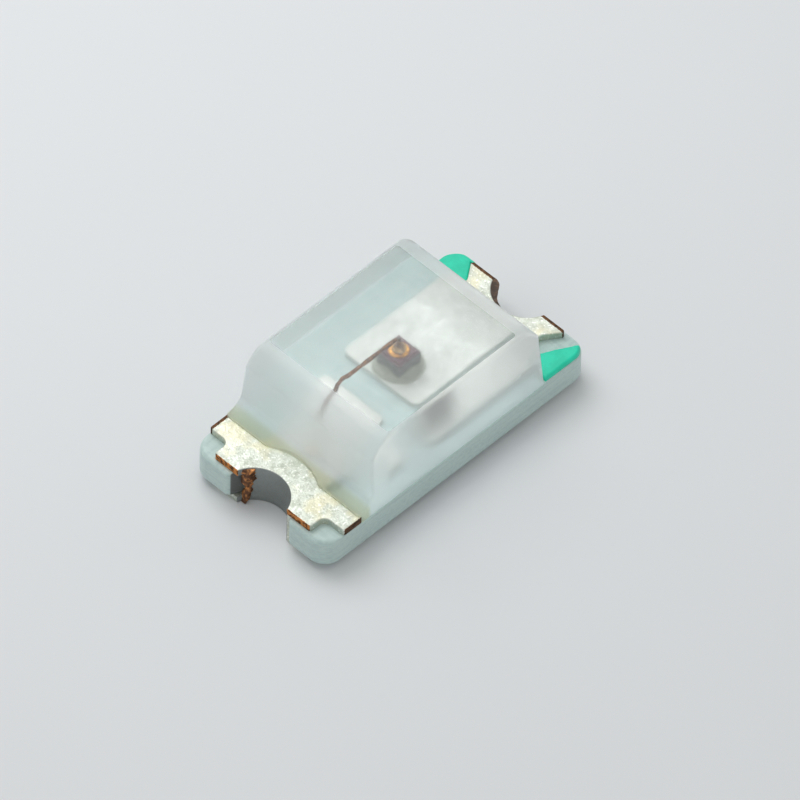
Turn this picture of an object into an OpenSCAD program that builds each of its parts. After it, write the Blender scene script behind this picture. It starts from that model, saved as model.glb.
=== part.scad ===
// Chip light-emitting diode in the 1608 metric (0603 inch) outline.
// A laminate board with plated half holes in its ends carries a small die, a bond wire and a moulded lens.
// Millimetres. +X runs from the anode end to the cathode end, +Y across the board, +Z up.
// The origin is in the middle of the part, where placement tools take hold of it.

/* [Board] */
// Length of the board from end to end
board_length = 1.59; // [1.5:0.01:2]
// Width of the board and of the foot of the lens
board_width = 0.8; // [0.75:0.01:1]
// Thickness of the laminate between its two copper layers
laminate_thickness = 0.14; // [0.1:0.01:0.3]
// Radius of the board's corners in plan
board_corner_radius = 0.09; // [0.04:0.01:0.1]

/* [Half holes] */
// Radius inside the plated half hole in each end
half_hole_radius = 0.155; // [0.12:0.005:0.17]
// Distance of the half holes' middles outside the end faces
half_hole_setout = 0.025; // [0.005:0.001:0.06]
// Thickness of the plating in a half hole
barrel_wall = 0.02; // [0.012:0.002:0.03]
// Angle from straight across the half hole, over which the anode barrel is torn away
torn_angle = 32; // [30:1:45]
// Angle by which the torn edge runs in and out
torn_ragged_angle = 8; // [2:1:9]

/* [Terminals] */
// Thickness of each copper land with its plating
land_thickness = 0.035; // [0.02:0.005:0.05]
// Width of the lands at the ends of the board
land_end_width = 0.57; // [0.5:0.01:0.66]
// Bare laminate between the lands and the end faces
land_end_inset = 0.024; // [0.005:0.001:0.04]
// Radius of the etched corners of the lands
land_corner_radius = 0.035; // [0.01:0.005:0.05]
// Length of the bare corner beside the anode land, from the end face
anode_corner_length = 0.11; // [0.1:0.005:0.15]
// Distance that the full-width strip of the anode land tucks under the lens foot
anode_strip_tuck = 0.018; // [0.005:0.001:0.05]
// Width of the anode tongue under the lens
anode_tongue_width = 0.36; // [0.2:0.01:0.5]
// Width of the cathode land that carries the die
cathode_tongue_width = 0.44; // [0.3:0.01:0.5]
// Length over which the cathode land flares out to its end width
cathode_flare_length = 0.09; // [0.05:0.01:0.16]
// Gap between the two lands under the lens
land_gap = 0.136; // [0.08:0.004:0.2]
// Distance of that gap's middle from the middle of the board, towards the anode
land_gap_offset = 0.148; // [0.08:0.004:0.18]
// Length of each solder pad underneath
solder_pad_length = 0.38; // [0.25:0.01:0.5]
// Bare laminate along the long edges beside a solder pad
solder_pad_inset = 0.05; // [0.02:0.005:0.1]

/* [Lens] */
// Length of the lens where it leaves the laminate, without its foot
lens_length = 1.043; // [0.95:0.001:1.2]
// Height of the lens above the top lands
lens_height = 0.35; // [0.32:0.01:0.6]
// Draft of the four walls of the lens, in degrees
lens_draft = 4; // [1:0.5:8]
// Length of the sloping shoulder at each end of the lens
shoulder_length = 0.097; // [0.05:0.001:0.12]
// Height of that shoulder
shoulder_drop = 0.084; // [0.05:0.001:0.1]
// Radius to which the shoulder bows outwards
shoulder_bow_radius = 0.2; // [0.12:0.01:0.5]
// Reach of the resin foot in front of the anode end of the lens
foot_length = 0.07; // [0.03:0.005:0.09]
// Thickness of the resin foot at its edge
foot_edge_thickness = 0.012; // [0.008:0.002:0.03]
// Bare metal between the half hole and the resin foot
foot_setback = 0.12; // [0.05:0.002:0.16]

/* [Die] */
// Side of the square die
die_size = 0.13; // [0.115:0.005:0.15]
// Height of the die
die_height = 0.14; // [0.08:0.005:0.16]
// Depth of the etched step round the top of the die
mesa_depth = 0.014; // [0.01:0.002:0.03]
// Width of the etched step round the top of the die
mesa_step = 0.01; // [0.005:0.001:0.02]
// Distance from the inner edge of the cathode land to the middle of the die
die_setback = 0.12; // [0.118:0.002:0.2]
// Radius of the spot of conductive adhesive under the die
attach_radius = 0.115; // [0.115:0.001:0.13]
// Thickness of the adhesive under the die
bond_line = 0.012; // [0.01:0.002:0.02]
// Height to which the adhesive climbs the sides of the die
fillet_rise = 0.03; // [0.015:0.005:0.06]
// Diameter of the metal contact on the die
electrode_diameter = 0.09; // [0.07:0.005:0.1]
// Thickness of the metal contact on the die
electrode_thickness = 0.01; // [0.01:0.002:0.02]

/* [Bond wire] */
// Diameter of the bond wire
wire_diameter = 0.025; // [0.018:0.001:0.03]
// Radius of the ball on the die's contact
ball_radius = 0.032; // [0.025:0.001:0.038]
// Height of the ball's middle above the contact
ball_lift = 0.016; // [0.008:0.001:0.02]
// Rise of the wire's axis above the contact
loop_rise = 0.14; // [0.08:0.005:0.16]
// Bend radius of the wire above the ball
rise_bend_radius = 0.04; // [0.03:0.002:0.045]
// Bend radius of the wire where it turns down
fall_bend_radius = 0.08; // [0.04:0.005:0.1]
// Slope of the wire on its way down, in degrees
fall_angle = 70; // [55:1:75]
// Distance of the stitch from the anode end of the lens
stitch_inset = 0.062; // [0.05:0.002:0.1]
// Radius of the flattened stitch
stitch_radius = 0.03; // [0.02:0.002:0.04]
// Thickness of the flattened stitch
stitch_thickness = 0.012; // [0.01:0.001:0.02]

/* [Marks] */
// Thickness of the cathode marks and of the underside mark
mark_thickness = 0.02; // [0.012:0.001:0.03]
// Distance between the two cathode marks at the end face
mark_spacing = 0.65; // [0.6:0.01:0.7]
// Slant of the marks' inner edges, in degrees
mark_slant = 29; // [10:1:40]
// Sideways slip of the printed marks
mark_slip = 0.046; // [0:0.002:0.06]
// Gap between the marks and the cathode end of the lens
mark_gap = 0.008; // [0.005:0.001:0.03]
// Length of the underside arrow, which points to the cathode
arrow_length = 0.4; // [0.2:0.02:0.5]
// Width of the underside arrow
arrow_width = 0.36; // [0.2:0.02:0.5]

/* [Hidden] */

// Number of steps in the torn edge of the anode barrel, and the turn from one step to the next
torn_steps = 5;
torn_turn = 137;
// Room for a cutting shape to run past the face it cuts
overrun = 0.05;
// Facets of round shapes
$fn = 64;

half_length = board_length / 2;
half_width = board_width / 2;
half_hole_x = half_length + half_hole_setout;
land_end = half_length - land_end_inset;
overall_height = 2 * land_thickness + laminate_thickness + lens_height;
solder_plane = -overall_height / 2;
laminate_bottom = solder_plane + land_thickness;
laminate_top = laminate_bottom + laminate_thickness;
board_top = laminate_top + land_thickness;
board_height = board_top - solder_plane;
lens_top = board_top + lens_height;

// Lens half length and half width at a height above the laminate, on its drafted walls
function drafted(half_size, height) = half_size - (height - laminate_top) * tan(lens_draft);
lens_half_length = lens_length / 2;
shoulder_foot = [drafted(lens_half_length, lens_top - shoulder_drop), lens_top - shoulder_drop];
shoulder_crest = [shoulder_foot[0] - shoulder_length, lens_top];
shoulder_chord = shoulder_crest - shoulder_foot;
shoulder_middle = (shoulder_foot + shoulder_crest) / 2;
shoulder_inward = [-shoulder_chord[1], shoulder_chord[0]] / norm(shoulder_chord);
shoulder_reach = sqrt(pow(shoulder_bow_radius, 2) - pow(norm(shoulder_chord) / 2, 2));
shoulder_centre = shoulder_middle + shoulder_inward * shoulder_reach;

// The hollow of the foot runs level at the foot's edge and ends on the drafted wall of the lens
foot_edge_height = land_thickness + foot_edge_thickness;
foot_arc_radius = (foot_length + foot_edge_height * tan(lens_draft)) / (1 - tan(lens_draft));

// The anode strip reaches in under the edge of the resin foot
anode_strip_inner = lens_half_length + foot_length - anode_strip_tuck;
anode_corner_width = half_width - land_end_width / 2;
anode_inner = -land_gap_offset - land_gap / 2;
cathode_inner = -land_gap_offset + land_gap / 2;

die_x = cathode_inner + die_setback;
die_bottom = board_top + bond_line;
die_top = die_bottom + die_height;
electrode_top = die_top + electrode_thickness;

// The wire's bends are placed to a tenth of a micrometre, so that its stretches meet them end to end
function placed(position) = round(position * 10000) / 10000;
loop_z = electrode_top + loop_rise;
stitch_x = -lens_half_length + stitch_inset;
fall_start_z = loop_z - fall_bend_radius * (1 - cos(fall_angle));
fall_length = (fall_start_z - board_top) / sin(fall_angle);
fall_start_x = stitch_x + fall_length * cos(fall_angle);
span_end_x = placed(fall_start_x + fall_bend_radius * sin(fall_angle));
span_start_x = die_x - rise_bend_radius;

// Rectangle with round corners, centred
module rounded_rectangle(length, width, radius) {
    square([length - 2 * radius, width], center = true);
    square([length, width - 2 * radius], center = true);
    for (side_x = [-1, 1], side_y = [-1, 1])
        translate([side_x * (length / 2 - radius), side_y * (width / 2 - radius)])
            circle(radius);
}

// The same, from one x to another
module rounded_strip(from_x, to_x, width, radius) {
    translate([(from_x + to_x) / 2, 0])
        rounded_rectangle(to_x - from_x, width, radius);
}

module board_outline() {
    rounded_rectangle(board_length, board_width, board_corner_radius);
}

// Bare corners of the board beside a land at the +X end
module bare_corners() {
    for (side_y = [-1, 1])
        translate([half_length, side_y * half_width])
            rounded_rectangle(2 * anode_corner_length, 2 * anode_corner_width, land_corner_radius);
}

// Stretch of the board that its copper may cover
module land_area() {
    square([2 * land_end, board_width], center = true);
}

// Keeps what lies on that stretch and outside the half hole at the +X end
module trimmed_land() {
    difference() {
        intersection() {
            children();
            land_area();
        }
        translate([half_hole_x, 0])
            circle(half_hole_radius);
    }
}

// Plan of the anode's top land, drawn at the +X end: a full-width strip with bare corners, and a tongue
module anode_land_plan() {
    trimmed_land()
        union() {
            difference() {
                translate([anode_strip_inner, -half_width])
                    square([half_length - anode_strip_inner, board_width]);
                bare_corners();
            }
            rounded_strip(-anode_inner, half_length, anode_tongue_width, land_corner_radius);
        }
}

// Plan of the cathode's top land: a wide tongue for the die that flares out at the end face
module cathode_land_plan() {
    flare_start = land_end - cathode_flare_length;
    trimmed_land()
        union() {
            rounded_strip(cathode_inner, half_length, cathode_tongue_width, land_corner_radius);
            polygon([
                [flare_start, -cathode_tongue_width / 2],
                [land_end, -land_end_width / 2],
                [land_end, land_end_width / 2],
                [flare_start, cathode_tongue_width / 2]
            ]);
        }
}

module solder_pad_plan() {
    trimmed_land()
        difference() {
            rounded_strip(half_length - solder_pad_length, half_length + solder_pad_length,
                          board_width - 2 * solder_pad_inset, land_corner_radius);
            bare_corners();
        }
}

// Plating of the half hole at the +X end, from the land's end on its -Y side round to the torn angle on its +Y side
module barrel(bottom, height, torn) {
    translate([0, 0, bottom])
        intersection() {
            translate([half_hole_x, 0])
                rotate([0, 0, 90 + torn])
                    rotate_extrude(angle = 180 - torn)
                        translate([half_hole_radius, 0])
                            square([barrel_wall, height]);
            linear_extrude(height)
                land_area();
        }
}

// Top lands as solids, where the terminals and the lens both need them
module anode_land() {
    translate([0, 0, laminate_top])
        mirror([1, 0, 0])
            linear_extrude(land_thickness)
                anode_land_plan();
}

module cathode_land() {
    translate([0, 0, laminate_top])
        linear_extrude(land_thickness)
            cathode_land_plan();
}

module solder_pad() {
    translate([0, 0, solder_plane])
        linear_extrude(land_thickness)
            solder_pad_plan();
}

module laminate_board() {
    color("honeydew")
        translate([0, 0, laminate_bottom])
            linear_extrude(laminate_thickness)
                difference() {
                    board_outline();
                    for (side_x = [-1, 1])
                        translate([side_x * half_hole_x, 0])
                            circle(half_hole_radius + barrel_wall);
                }
}

module anode_terminal() {
    step_height = laminate_thickness / torn_steps;
    color("silver")
        union() {
            anode_land();
            mirror([1, 0, 0]) {
                solder_pad();
                barrel(solder_plane, board_height, torn_angle + torn_ragged_angle);
                for (step = [0 : torn_steps - 1])
                    barrel(laminate_bottom + step * step_height, step_height,
                           torn_angle + torn_ragged_angle * sin(step * torn_turn));
            }
        }
}

module cathode_terminal() {
    color("silver")
        union() {
            cathode_land();
            solder_pad();
            barrel(solder_plane, board_height, 0);
        }
}

// Spot of adhesive with a cone that climbs the die
module die_attach() {
    color("darkseagreen")
        difference() {
            translate([die_x, 0, board_top])
                rotate_extrude()
                    polygon([
                        [0, 0],
                        [attach_radius, 0],
                        [attach_radius - bond_line / 2, bond_line],
                        [attach_radius - bond_line, bond_line],
                        [die_size / 2, bond_line + fillet_rise],
                        [0, bond_line + fillet_rise]
                    ]);
            led_die();
        }
}

module led_die() {
    mesa_size = die_size - 2 * mesa_step;
    color("dimgray")
        union() {
            translate([die_x - die_size / 2, -die_size / 2, die_bottom])
                cube([die_size, die_size, die_height - mesa_depth]);
            translate([die_x - mesa_size / 2, -mesa_size / 2, die_bottom])
                cube([mesa_size, mesa_size, die_height]);
        }
}

module die_electrode() {
    color("goldenrod")
        translate([die_x, 0, die_top])
            cylinder(h = electrode_thickness, d = electrode_diameter);
}

// Part of a ring in the XZ plane that carries the wire round a bend
module wire_bend(centre_x, centre_z, radius, from_angle, turn) {
    translate([centre_x, 0, centre_z])
        rotate([90, 0, 0])
            rotate([0, 0, from_angle])
                rotate_extrude(angle = turn)
                    translate([radius, 0])
                        circle(d = wire_diameter);
}

// Straight stretch of wire from a point, tilted from upright towards -X
module wire_stretch(start_x, start_z, tilt, length) {
    translate([start_x, 0, start_z])
        rotate([0, -tilt, 0])
            cylinder(h = length, d = wire_diameter);
}

// Ball on the die, rise, level span, fall and the flat stitch on the anode tongue
module bond_wire() {
    neck_bottom = electrode_top + ball_lift;
    color("peru")
        union() {
            intersection() {
                translate([die_x, 0, neck_bottom])
                    sphere(ball_radius);
                translate([die_x - ball_radius, -ball_radius, electrode_top])
                    cube(2 * ball_radius);
            }
            wire_stretch(die_x, neck_bottom, 0, loop_z - rise_bend_radius - neck_bottom);
            wire_bend(span_start_x, loop_z - rise_bend_radius, rise_bend_radius, 0, 90);
            wire_stretch(span_start_x, loop_z, 90, span_start_x - span_end_x);
            wire_bend(span_end_x, loop_z - fall_bend_radius, fall_bend_radius, 90, fall_angle);
            difference() {
                translate([span_end_x, 0, loop_z - fall_bend_radius])
                    rotate([0, -fall_angle, 0])
                        wire_stretch(0, fall_bend_radius, 90, fall_length + wire_diameter);
                translate([stitch_x - overrun, -overrun, board_top - 2 * overrun])
                    cube(2 * overrun);
            }
            translate([stitch_x, 0, board_top])
                cylinder(h = stitch_thickness, r = stitch_radius);
        }
}

// End elevation of the lens: drafted walls, bowed shoulders and a flat top
module lens_elevation() {
    difference() {
        polygon([
            [-lens_half_length, laminate_top],
            [lens_half_length, laminate_top],
            [drafted(lens_half_length, lens_top), lens_top],
            [-drafted(lens_half_length, lens_top), lens_top]
        ]);
        for (side = [0, 1])
            mirror([side, 0])
                difference() {
                    translate([shoulder_crest[0], shoulder_foot[1]])
                        square([shoulder_length + overrun, shoulder_drop + overrun]);
                    translate(shoulder_centre)
                        circle(shoulder_bow_radius);
                }
    }
}

// Hollow-curved foot that the resin leaves in front of the anode end of the lens
module foot_elevation() {
    difference() {
        translate([-lens_half_length - foot_length, laminate_top])
            square([foot_length + overrun, foot_edge_height + foot_arc_radius]);
        translate([-lens_half_length - foot_length, laminate_top + foot_edge_height + foot_arc_radius])
            circle(foot_arc_radius);
    }
}

// Drafted side walls
module lens_section() {
    polygon([
        [-half_width, laminate_top],
        [half_width, laminate_top],
        [drafted(half_width, lens_top), lens_top],
        [-drafted(half_width, lens_top), lens_top]
    ]);
}

// Draws an XZ outline across the full width of the board
module across_board() {
    rotate([90, 0, 0])
        translate([0, 0, -half_width])
            linear_extrude(board_width)
                children();
}

// Outside of the lens, before the sealed pieces are taken out of it
module lens_block() {
    intersection() {
        union() {
            across_board()
                lens_elevation();
            difference() {
                across_board()
                    foot_elevation();
                translate([-half_hole_x, 0, laminate_top])
                    cylinder(h = lens_height, r = half_hole_radius + foot_setback);
            }
        }
        rotate([90, 0, 90])
            translate([0, 0, -half_length])
                linear_extrude(board_length)
                    lens_section();
    }
}

module lens() {
    color("gainsboro", 0.6)
        difference() {
            lens_block();
            anode_land();
            cathode_land();
            die_attach();
            led_die();
            die_electrode();
            bond_wire();
        }
}

// One printed corner mark; side_y is 1 on the left, looking towards the cathode, and -1 on the right
module cathode_mark(side_y) {
    mark_start = lens_half_length + mark_gap;
    edge_at_end = side_y * mark_spacing / 2 - mark_slip;
    edge_at_start = edge_at_end - side_y * (half_length - mark_start) * tan(mark_slant);
    color("mediumaquamarine")
        translate([0, 0, laminate_top])
            linear_extrude(mark_thickness)
                difference() {
                    intersection() {
                        polygon([
                            [mark_start, edge_at_start],
                            [half_length, edge_at_end],
                            [half_length, side_y * half_width],
                            [mark_start, side_y * half_width]
                        ]);
                        board_outline();
                    }
                    cathode_land_plan();
                }
}

module cathode_mark_left() {
    cathode_mark(1);
}

module cathode_mark_right() {
    cathode_mark(-1);
}

// Solder-resist arrow between the solder pads
module underside_arrow() {
    color("mediumaquamarine")
        translate([0, 0, laminate_bottom - mark_thickness])
            linear_extrude(mark_thickness)
                polygon([
                    [-arrow_length / 2, -arrow_width / 2],
                    [arrow_length / 2, 0],
                    [-arrow_length / 2, arrow_width / 2]
                ]);
}

laminate_board();
anode_terminal();
cathode_terminal();
die_attach();
led_die();
die_electrode();
bond_wire();
lens();
cathode_mark_left();
cathode_mark_right();
underside_arrow();
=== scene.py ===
"""Chip light-emitting diode on a pale floor: board, plated terminals, die, bond wire and resin lens."""
import math

import bmesh
import bpy
import numpy as np
from bpy.props import FloatProperty, FloatVectorProperty, PointerProperty
from bpy.types import Operator, Panel, PropertyGroup
from mathutils import Matrix, Vector


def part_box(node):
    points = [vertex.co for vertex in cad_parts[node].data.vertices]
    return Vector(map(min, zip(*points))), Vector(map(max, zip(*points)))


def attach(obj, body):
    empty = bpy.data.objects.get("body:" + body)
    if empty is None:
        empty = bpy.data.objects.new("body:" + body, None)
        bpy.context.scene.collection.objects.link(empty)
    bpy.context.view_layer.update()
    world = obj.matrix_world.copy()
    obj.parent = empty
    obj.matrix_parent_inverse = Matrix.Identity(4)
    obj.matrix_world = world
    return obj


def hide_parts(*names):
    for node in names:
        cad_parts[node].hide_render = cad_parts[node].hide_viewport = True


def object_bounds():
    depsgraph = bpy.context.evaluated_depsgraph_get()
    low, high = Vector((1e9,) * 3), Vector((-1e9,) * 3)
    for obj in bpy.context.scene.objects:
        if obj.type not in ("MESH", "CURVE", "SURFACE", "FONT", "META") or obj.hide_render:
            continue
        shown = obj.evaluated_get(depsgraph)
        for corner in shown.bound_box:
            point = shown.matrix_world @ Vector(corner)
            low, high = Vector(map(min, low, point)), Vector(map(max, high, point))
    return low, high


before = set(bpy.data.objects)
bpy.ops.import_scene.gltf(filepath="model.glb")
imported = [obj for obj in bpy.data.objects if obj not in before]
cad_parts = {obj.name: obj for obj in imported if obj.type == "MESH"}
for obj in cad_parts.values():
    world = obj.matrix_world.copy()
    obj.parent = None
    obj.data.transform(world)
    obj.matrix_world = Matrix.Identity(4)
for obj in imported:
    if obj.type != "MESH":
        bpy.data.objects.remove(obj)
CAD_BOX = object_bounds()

bl_info = {
    "name": "Chip LED",
    "version": (1, 0, 0),
    "blender": (4, 5, 0),
    "location": "View3D > Sidebar > Chip LED",
    "description": "Builds the pieces and finishes of a chip light-emitting diode round its solid model",
    "category": "Object",
}

MM = 0.001
BODY = "root"
FOCAL_LENGTH = 800
SENSOR_WIDTH = 36
NEAR_CLIP = 1 * MM
FAR_CLIP = 1000 * MM
FLOOR_LINES = 9
RESIN_IOR = 1.5

# Lengths over which metal and ink waver
TORN_WAVE = 0.03 * MM
BURR_WAVE = 0.024 * MM
WIRE_WAVE = 0.02 * MM
SWAY_WAVE = 0.03 * MM
INK_WAVE = 0.05 * MM

# Corners of the solids that the pieces are fitted to
BOARD_LOW, BOARD_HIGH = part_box("laminate_board")
LENS_LOW, LENS_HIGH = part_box("lens")
DIE_LOW, DIE_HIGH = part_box("led_die")
CONTACT_LOW, CONTACT_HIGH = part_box("die_electrode")
WIRE_LOW, WIRE_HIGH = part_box("bond_wire")
MARK_LOW, MARK_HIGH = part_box("cathode_mark_left")
HALF_LENGTH = BOARD_HIGH.x
LAND_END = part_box("cathode_terminal")[1].x
HALF_WIDTH = BOARD_HIGH.y
LAMINATE_BOTTOM = BOARD_LOW.z
LAMINATE_TOP = BOARD_HIGH.z
SOLDER_PLANE = CAD_BOX[0].z
BOARD_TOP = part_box("die_attach")[0].z
DIE_X = (DIE_LOW.x + DIE_HIGH.x) / 2


def length(name, description, millimetres):
    """A length property with its default in millimetres."""
    return FloatProperty(name=name, description=description, default=millimetres * MM, unit="LENGTH",
                         precision=6)


def angle(name, description, degrees):
    """An angle property with its default in degrees."""
    return FloatProperty(name=name, description=description, default=math.radians(degrees), subtype="ANGLE")


def brightness(name, description, level):
    """A brightness property."""
    return FloatProperty(name=name, description=description, default=level)


def linear(red, green, blue):
    """A colour of 0 to 255 screen values as linear light."""
    screen = np.array([red, green, blue]) / 255
    return tuple(np.where(screen <= 0.04045, screen / 12.92, ((screen + 0.055) / 1.055) ** 2.4).tolist())


def colour(name, description, *screen):
    """A colour property with its default in 0 to 255 screen values."""
    return FloatVectorProperty(name=name, description=description, default=linear(*screen), subtype="COLOR",
                               min=0, max=1)


class BoardSizes(PropertyGroup):
    """Sizes of the laminate board and its half holes."""
    corner_radius: length("Corner radius", "Radius of the board's corners in plan", 0.09)
    edge_radius: length("Edge radius", "Rounding of the board's top and bottom edges", 0.008)
    end_radius: length("End radius", "Rounding of the top edges of the board's ends", 0.024)
    mouth_radius: length("Mouth radius", "Rounding in plan between a half hole and the end face", 0.028)
    hole_radius: length("Half hole radius", "Radius inside the plated half holes", 0.155)
    hole_setout: length("Half hole set-out", "Distance of the half holes' middles beyond the ends", 0.025)
    barrel_wall: length("Barrel wall", "Thickness of the plating in a half hole", 0.02)


class TerminalSizes(PropertyGroup):
    """Sizes of the plated lands, the solder pads and the torn barrel."""
    end_width: length("End width", "Width of the lands at the ends of the board", 0.57)
    corner_radius: length("Corner radius", "Radius of the etched corners of the lands", 0.035)
    cut_radius: length("Cut corner radius", "Radius of the lands' sharp corners", 0.012)
    edge_radius: length("Edge radius", "Rounding of the lands' top edges", 0.006)
    bare_corner: length("Bare corner", "Length of the bare corner beside the anode land", 0.11)
    anode_strip: length("Anode strip", "Distance of the strip's inner edge from the middle", 0.5735)
    anode_tongue: length("Anode tongue", "Width of the anode tongue under the lens", 0.36)
    cathode_tongue: length("Cathode tongue", "Width of the cathode land that carries the die", 0.44)
    cathode_flare: length("Cathode flare", "Length over which the cathode land flares out", 0.09)
    pad_length: length("Solder pad length", "Length of each solder pad underneath", 0.38)
    pad_inset: length("Solder pad inset", "Bare laminate along the long edges beside a solder pad", 0.05)
    torn_angle: angle("Torn angle", "Angle from straight across over which the anode barrel is torn away", 32)
    torn_ragged: angle("Torn raggedness", "Angle by which the torn edge runs in and out", 4)
    burr_width: length("Burr width", "Width of the torn copper along the barrel's edge", 0.058)
    burr_lift: length("Burr lift", "Reach of the torn copper into the half hole", 0.026)
    # The lip stands partly for cut copper and partly for the shade along the half hole's edge.
    lip_reach: length("Lip reach", "Reach of the smeared lip into the cathode's half hole", 0.036)
    lip_height: length("Lip height", "Height of the smeared lip", 0.05)
    lip_sweep: angle("Lip sweep", "Angle of the half hole that the smeared lip takes up", 75)


class DieSizes(PropertyGroup):
    """Sizes of the adhesive spot, the die's contact and the bond wire."""
    attach_radius: length("Adhesive radius", "Radius of the adhesive spot", 0.115)
    bond_line: length("Bond line", "Thickness of the adhesive under the die", 0.012)
    fillet_rise: length("Fillet rise", "Height to which the adhesive climbs the die", 0.03)
    contact_edge: length("Contact edge", "Rounding of the contact's rim", 0.004)
    wire_diameter: length("Wire diameter", "Diameter of the bond wire", 0.02)
    ball_radius: length("Ball radius", "Radius of the ball on the contact", 0.032)
    ball_lift: length("Ball lift", "Height of the ball's middle above the contact", 0.016)
    rise_bend: length("Rise bend", "Bend radius of the wire above the ball", 0.04)
    fall_bend: length("Fall bend", "Bend radius of the wire where it turns down", 0.08)
    fall_angle: angle("Fall angle", "Slope of the wire on its way down", 70)
    stitch_radius: length("Stitch radius", "Half width of the flattened stitch", 0.03)
    stitch_height: length("Stitch height", "Half thickness of the flattened stitch", 0.005)


class LensSizes(PropertyGroup):
    """Sizes of the moulded resin lens and its foot."""
    length: length("Length", "Length of the lens where it leaves the laminate", 1.043)
    draft: angle("Draft", "Draft of the four walls", 4)
    corner_radius: length("Corner radius", "Rounding of the upright edges", 0.016)
    edge_radius: length("Edge radius", "Rounding of the long top edges", 0.026)
    crest_drop: length("Crest drop", "Height over which the shoulder bends into the top", 0.014)
    shoulder_length: length("Shoulder length", "Length of the sloping shoulder at each end", 0.097)
    shoulder_drop: length("Shoulder drop", "Height of the shoulder", 0.084)
    shoulder_bow: length("Shoulder bow", "Radius to which the shoulder bows outwards", 0.2)
    foot_edge: length("Foot edge", "Thickness of the resin foot at its edge", 0.012)
    foot_setback: length("Foot setback", "Bare metal between the half hole and the resin foot", 0.12)
    sink: length("Sink", "Depth to which the resin closes below the laminate's face", 0.002)


class MarkSizes(PropertyGroup):
    """Sizes of the printed cathode marks."""
    spacing: length("Spacing", "Distance between the two marks at the end face", 0.65)
    slant: angle("Slant", "Slant of the marks' inner edges", 29)
    slip: length("Slip", "Sideways slip of the print", 0.046)
    edge: length("Edge", "Width over which the ink thins out at its border", 0.014)
    waver: length("Waver", "Waviness of the ink's border", 0.003)
    margin: length("Margin", "Distance of the ink from the board's outline", 0.005)


class FinishColours(PropertyGroup):
    """Colours of the finishes."""
    laminate: colour("Laminate", "Resin of the board", 194, 214, 209)
    fibre: colour("Fibre", "Glass fibre in the board", 174, 196, 193)
    # Painted shade: the bare laminate wall of the torn half hole is painted dark grey.
    painted_shade_hole_wall: colour("Hole wall", "Bare wall of the torn half hole", 96, 100, 98)
    plating: colour("Plating", "Bright plating", 206, 211, 201)
    plating_grey: colour("Plating shade", "Dull patches of the plating", 186, 192, 179)
    plating_warm: colour("Plating tint", "Yellowish tint of the plating", 216, 213, 188)
    # Painted highlight: white specks painted into the plating's colour as glints.
    plating_painted_glint: colour("Plating glint", "Bright grains of the plating", 250, 250, 246)
    # Painted light: the plating under the lens takes one even tone, set for how bright it shows through the
    # resin.
    painted_under_lens: colour("Covered plating", "Plating under the lens", 210, 213, 207)
    # Painted shade: the plating inside the half holes is painted dim.
    barrel: colour("Barrel", "Dim plating in the half holes", 150, 156, 154)
    copper: colour("Copper", "Cut copper edges", 208, 140, 80)
    copper_dark: colour("Dark copper", "Tarnished copper", 98, 64, 40)
    # Dark grey copper for the cut edges along the sides; at the +X end and its lip it is painted shade.
    grey_copper_and_shade: colour("Grey copper", "Smeared copper of the saw cuts", 62, 53, 46)
    adhesive: colour("Adhesive", "Conductive adhesive", 158, 164, 146)
    adhesive_dark: colour("Dark adhesive", "Shaded grains of the adhesive", 128, 136, 120)
    die_side: colour("Die side", "Sawn sides of the die", 44, 50, 50)
    die_pale: colour("Die chips", "Pale chips on the die's sides", 120, 130, 128)
    die_top: colour("Die top", "Etched top of the die", 92, 50, 60)
    gold: colour("Gold", "Contact on the die", 232, 172, 74)
    gold_dark: colour("Dark gold", "Scuffed patches of the contact", 150, 96, 36)
    wire: colour("Wire", "Bond wire", 132, 86, 44)
    wire_dark: colour("Dark wire", "Dull patches of the bond wire", 62, 38, 20)
    # Painted haze: the wire is painted pale towards its stitch for the light scattered in the resin.
    wire_painted_haze: colour("Pale wire", "Bond wire near its stitch", 214, 206, 186)
    resin: colour("Resin", "Milky lens resin", 248, 253, 255)
    resin_thin: colour("Thin resin", "Yellowish edge of the resin foot", 214, 216, 178)
    ink: colour("Ink", "Green print", 12, 220, 182)
    ink_dark: colour("Dark ink", "Thicker patches of the print", 8, 206, 168)
    floor: colour("Floor", "Pale floor", 228, 231, 233)


class StageSettings(PropertyGroup):
    """Camera, light and floor."""
    azimuth: angle("Azimuth", "Turn of the camera round the part", -46.4)
    elevation: angle("Elevation", "Height of the camera above the horizon", 49.4)
    roll: angle("Roll", "Turn of the camera about its own axis", 1.5)
    picture_width: length("Picture width", "Width of the view at the part", 3.3755)
    aim: FloatVectorProperty(name="Aim", description="Point at the middle of the picture", unit="LENGTH",
                             precision=6, default=(-0.0219 * MM, -0.0726 * MM, -0.0421 * MM))
    floor_size: length("Floor size", "Side of the floor", 240)
    key_distance: length("Key distance", "Distance of the main lamp", 12)
    key_size: length("Key size", "Side of the main lamp", 9)
    key_azimuth: angle("Key azimuth", "Turn of the main lamp round the part", 168)
    key_elevation: angle("Key elevation", "Height of the main lamp above the horizon", 56)
    key_radiance: brightness("Key brightness", "Brightness of the main lamp's face", 2.6)
    fill_light: brightness("Fill light", "Brightness of the room on matt surfaces", 0.58)
    backdrop: brightness("Backdrop", "Brightness of the room as seen, mirrored or through resin", 0.84)


class ChipLed(PropertyGroup):
    """All settings of the part."""
    board: PointerProperty(type=BoardSizes)
    terminal: PointerProperty(type=TerminalSizes)
    die: PointerProperty(type=DieSizes)
    lens: PointerProperty(type=LensSizes)
    mark: PointerProperty(type=MarkSizes)
    colours: PointerProperty(type=FinishColours)
    stage: PointerProperty(type=StageSettings)


# Outlines

def unit(vectors):
    """Vectors scaled to length one."""
    return vectors / np.linalg.norm(vectors, axis=-1, keepdims=True)


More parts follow.
